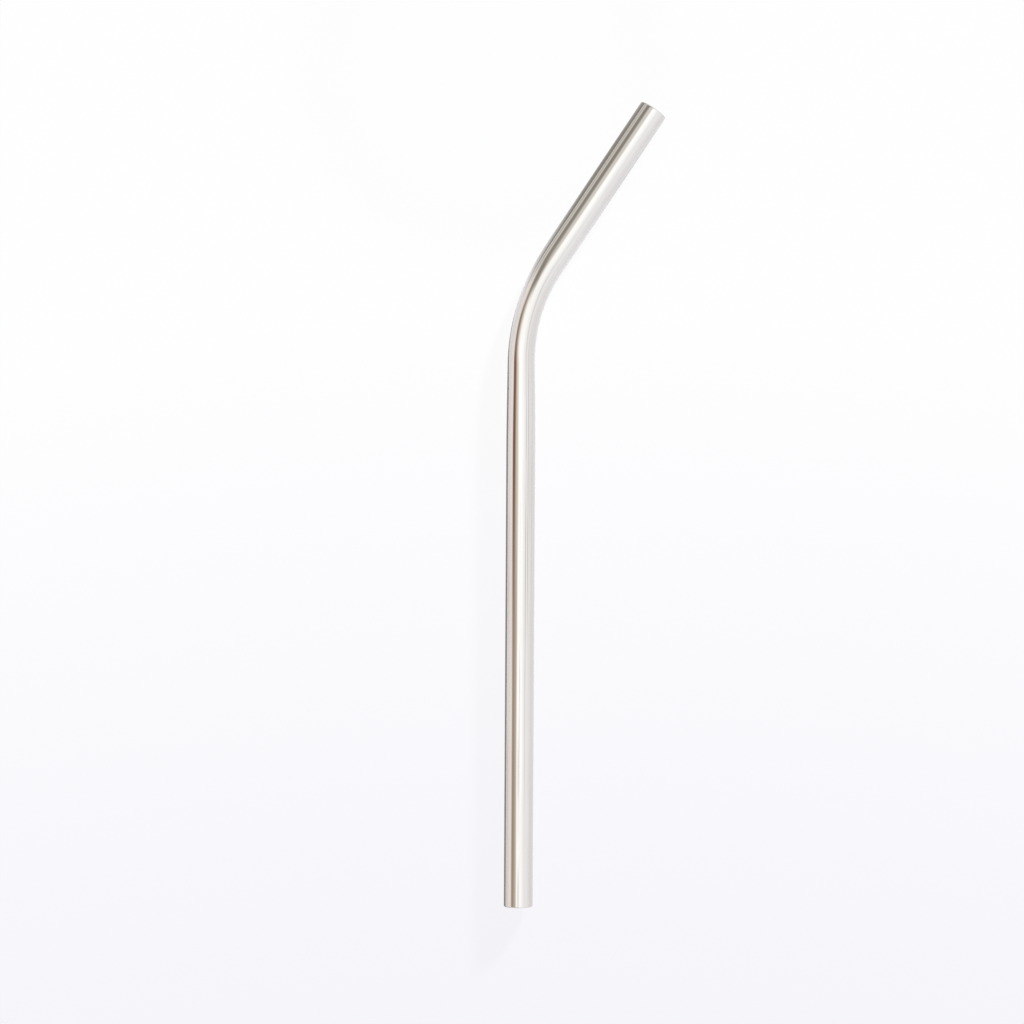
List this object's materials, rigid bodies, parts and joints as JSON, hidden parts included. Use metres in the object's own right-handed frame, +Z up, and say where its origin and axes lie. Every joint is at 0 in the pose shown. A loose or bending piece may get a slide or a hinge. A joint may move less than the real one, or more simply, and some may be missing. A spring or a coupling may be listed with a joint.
{
  "type": "stainless steel drinking straw",
  "caption": "Drinking straw: a polished thin-walled stainless steel tube, open at both ends, with a long straight leg, one shallow bend and a short straight mouth leg.",
  "frame": {"origin": "centre of the straw's footprint, on the surface that it lies on", "axes": "+Y along the long leg towards the bend, +X the side that the short mouth leg leans to, +Z up, square to the plane of the bend"},
  "size_m": [0.0432, 0.2212, 0.008],
  "materials": {
    "polished_steel": "drawn 304 stainless tube, polished along its length"
  },
  "bodies": {
    "root": {"straw": "polished_steel"}
  },
  "joints": []
}
